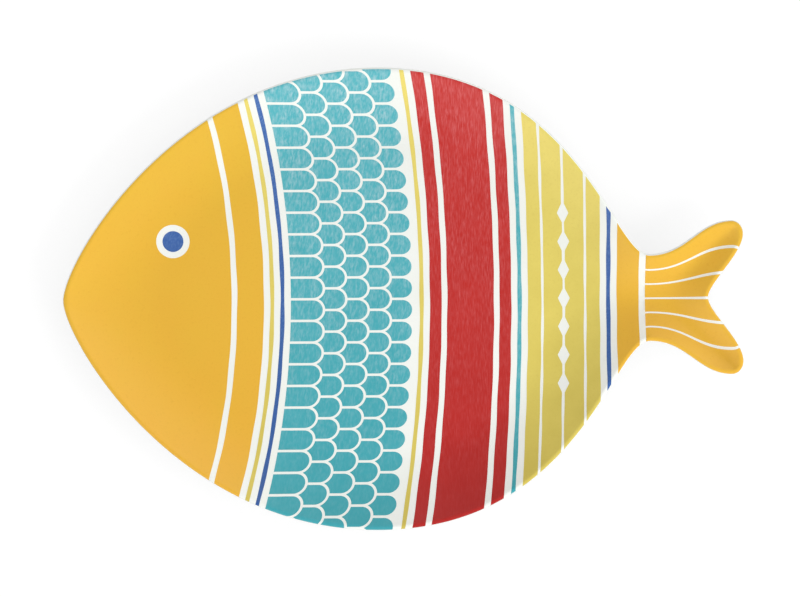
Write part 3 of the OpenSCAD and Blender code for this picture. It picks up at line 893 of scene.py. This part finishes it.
def orange_ink():
    """The head, the gill band and the tail."""
    # The back's colour is yellower than the belly's, as painted light on the back's rim
    return flat_ink("orange_ink", "eeb33c", "e9bd3c", "dda62f")


def yellow_ink():
    """The yellow stripes, the lozenge band and two of the pinstripes."""
    # The belly's colour is darker than the back's, as painted shade on the lower rim and painted light on
    # the upper rim
    return flat_ink("yellow_ink", "d0bc54", "f3e177", "d6c058")


def blue_ink():
    """The pupil and two of the pinstripes."""
    return streaked_ink("blue_ink", "305798", "456db4", "7093c6", per_metre=(900, 500, 500), turn=0.5)


def red_ink():
    """The red stripes."""
    return streaked_ink("red_ink", "b01f1c", "cc332e", "e27678", per_metre=(1400, 190, 190), turn=0)


def teal_ink():
    """The scales and one of the pinstripes."""
    return streaked_ink("teal_ink", "39a2ad", "5abac5", "bedbe1", per_metre=(850, 290, 290), turn=0.12)


# Stage
def make_floor():
    """A pale floor that the camera sees as white where no shadow falls."""
    mesh = bpy.data.meshes.new("floor")
    far = FLOOR_SIZE / 2
    mesh.from_pydata([(-far, -far, 0), (far, -far, 0), (far, far, 0), (-far, far, 0)], [], [(0, 1, 2, 3)])
    floor = bpy.data.objects.new("floor", mesh)
    floor.location.z = FLOOR_DROP
    bpy.context.collection.objects.link(floor)
    material = bpy.data.materials.new("pale_floor")
    material.use_nodes = True
    tree = material.node_tree
    tree.nodes.clear()
    output = tree.nodes.new("ShaderNodeOutputMaterial")
    both = tree.nodes.new("ShaderNodeAddShader")
    lit = tree.nodes.new("ShaderNodeBsdfDiffuse")
    lit.inputs["Color"].default_value = (FLOOR_LIT, FLOOR_LIT, FLOOR_LIT, 1)
    glow = tree.nodes.new("ShaderNodeEmission")
    tree.links.new(seen_strength(tree, FLOOR_GLOW), glow.inputs["Strength"])
    tree.links.new(lit.outputs[0], both.inputs[0])
    tree.links.new(glow.outputs[0], both.inputs[1])
    tree.links.new(both.outputs[0], output.inputs["Surface"])
    mesh.materials.append(material)


def seen_strength(tree, strength):
    """A strength for rays from the camera or off a glossy face, which adds no light on the part."""
    path = tree.nodes.new("ShaderNodeLightPath")
    either = maths(tree, "MAXIMUM", path.outputs["Is Camera Ray"], path.outputs["Is Glossy Ray"])
    return ramp(tree, either, 0, strength, 0, 1)


def make_world():
    """Pale walls all round, brighter along one diagonal, and a dimmer ceiling. The camera sees white."""
    world = bpy.data.worlds.new("studio")
    bpy.context.scene.world = world
    world.use_nodes = True
    tree = world.node_tree
    place = tree.nodes.new("ShaderNodeTexCoord").outputs["Generated"]
    axes = tree.nodes.new("ShaderNodeSeparateXYZ")
    tree.links.new(place, axes.inputs[0])
    steep = maths(tree, "MULTIPLY", axes.outputs["Z"], axes.outputs["Z"])
    walls = ramp(tree, steep, WALL_LIGHT, OVERHEAD_LIGHT, 0, 1)
    diagonal = maths(tree, "MULTIPLY", axes.outputs["X"], axes.outputs["Y"])
    swing = ramp(tree, diagonal, -WALL_SWING, WALL_SWING, -DIAGONAL_REACH, DIAGONAL_REACH)
    walls = maths(tree, "ADD", walls, swing)
    path = tree.nodes.new("ShaderNodeLightPath")
    strength = maths(tree, "MAXIMUM", walls, path.outputs["Is Camera Ray"])
    tree.links.new(strength, tree.nodes["Background"].inputs["Strength"])
    tree.nodes["Background"].inputs["Color"].default_value = (1, 1, 1, 1)


def make_key_light():
    """A soft box beyond the tail on the side without the eye, kept out of reflections as by a polariser."""
    lamp = bpy.data.lights.new("key", "AREA")
    lamp.shape = "RECTANGLE"
    lamp.size, lamp.size_y = KEY_SIZE
    side, up = math.radians(KEY_AZIMUTH), math.radians(KEY_ELEVATION)
    towards = Vector((math.cos(side) * math.cos(up), math.sin(side) * math.cos(up), math.sin(up)))
    lamp.energy = KEY_LEVEL * math.pi**2 * KEY_DISTANCE**2 / math.sin(up)
    key = bpy.data.objects.new("key", lamp)
    key.location = towards * KEY_DISTANCE
    key.rotation_euler = towards.to_track_quat("Z", "Y").to_euler()
    key.visible_glossy = False
    bpy.context.collection.objects.link(key)


def make_camera():
    """Looks straight down from far off, with the nose to the left."""
    lens = bpy.data.cameras.new("camera")
    lens.sensor_width = SENSOR_WIDTH
    lens.lens = lens.sensor_width * (CAMERA_HEIGHT - HEIGHT * MM) / VIEW_WIDTH
    camera = bpy.data.objects.new("camera", lens)
    camera.location = (CAMERA_SHIFT[0], CAMERA_SHIFT[1], CAMERA_HEIGHT)
    camera.rotation_euler = (0, 0, math.radians(CAMERA_TURN))
    bpy.context.collection.objects.link(camera)
    bpy.context.scene.camera = camera


make_platter()
make_floor()
make_world()
make_key_light()
make_camera()
bpy.context.scene.view_settings.view_transform = "Standard"
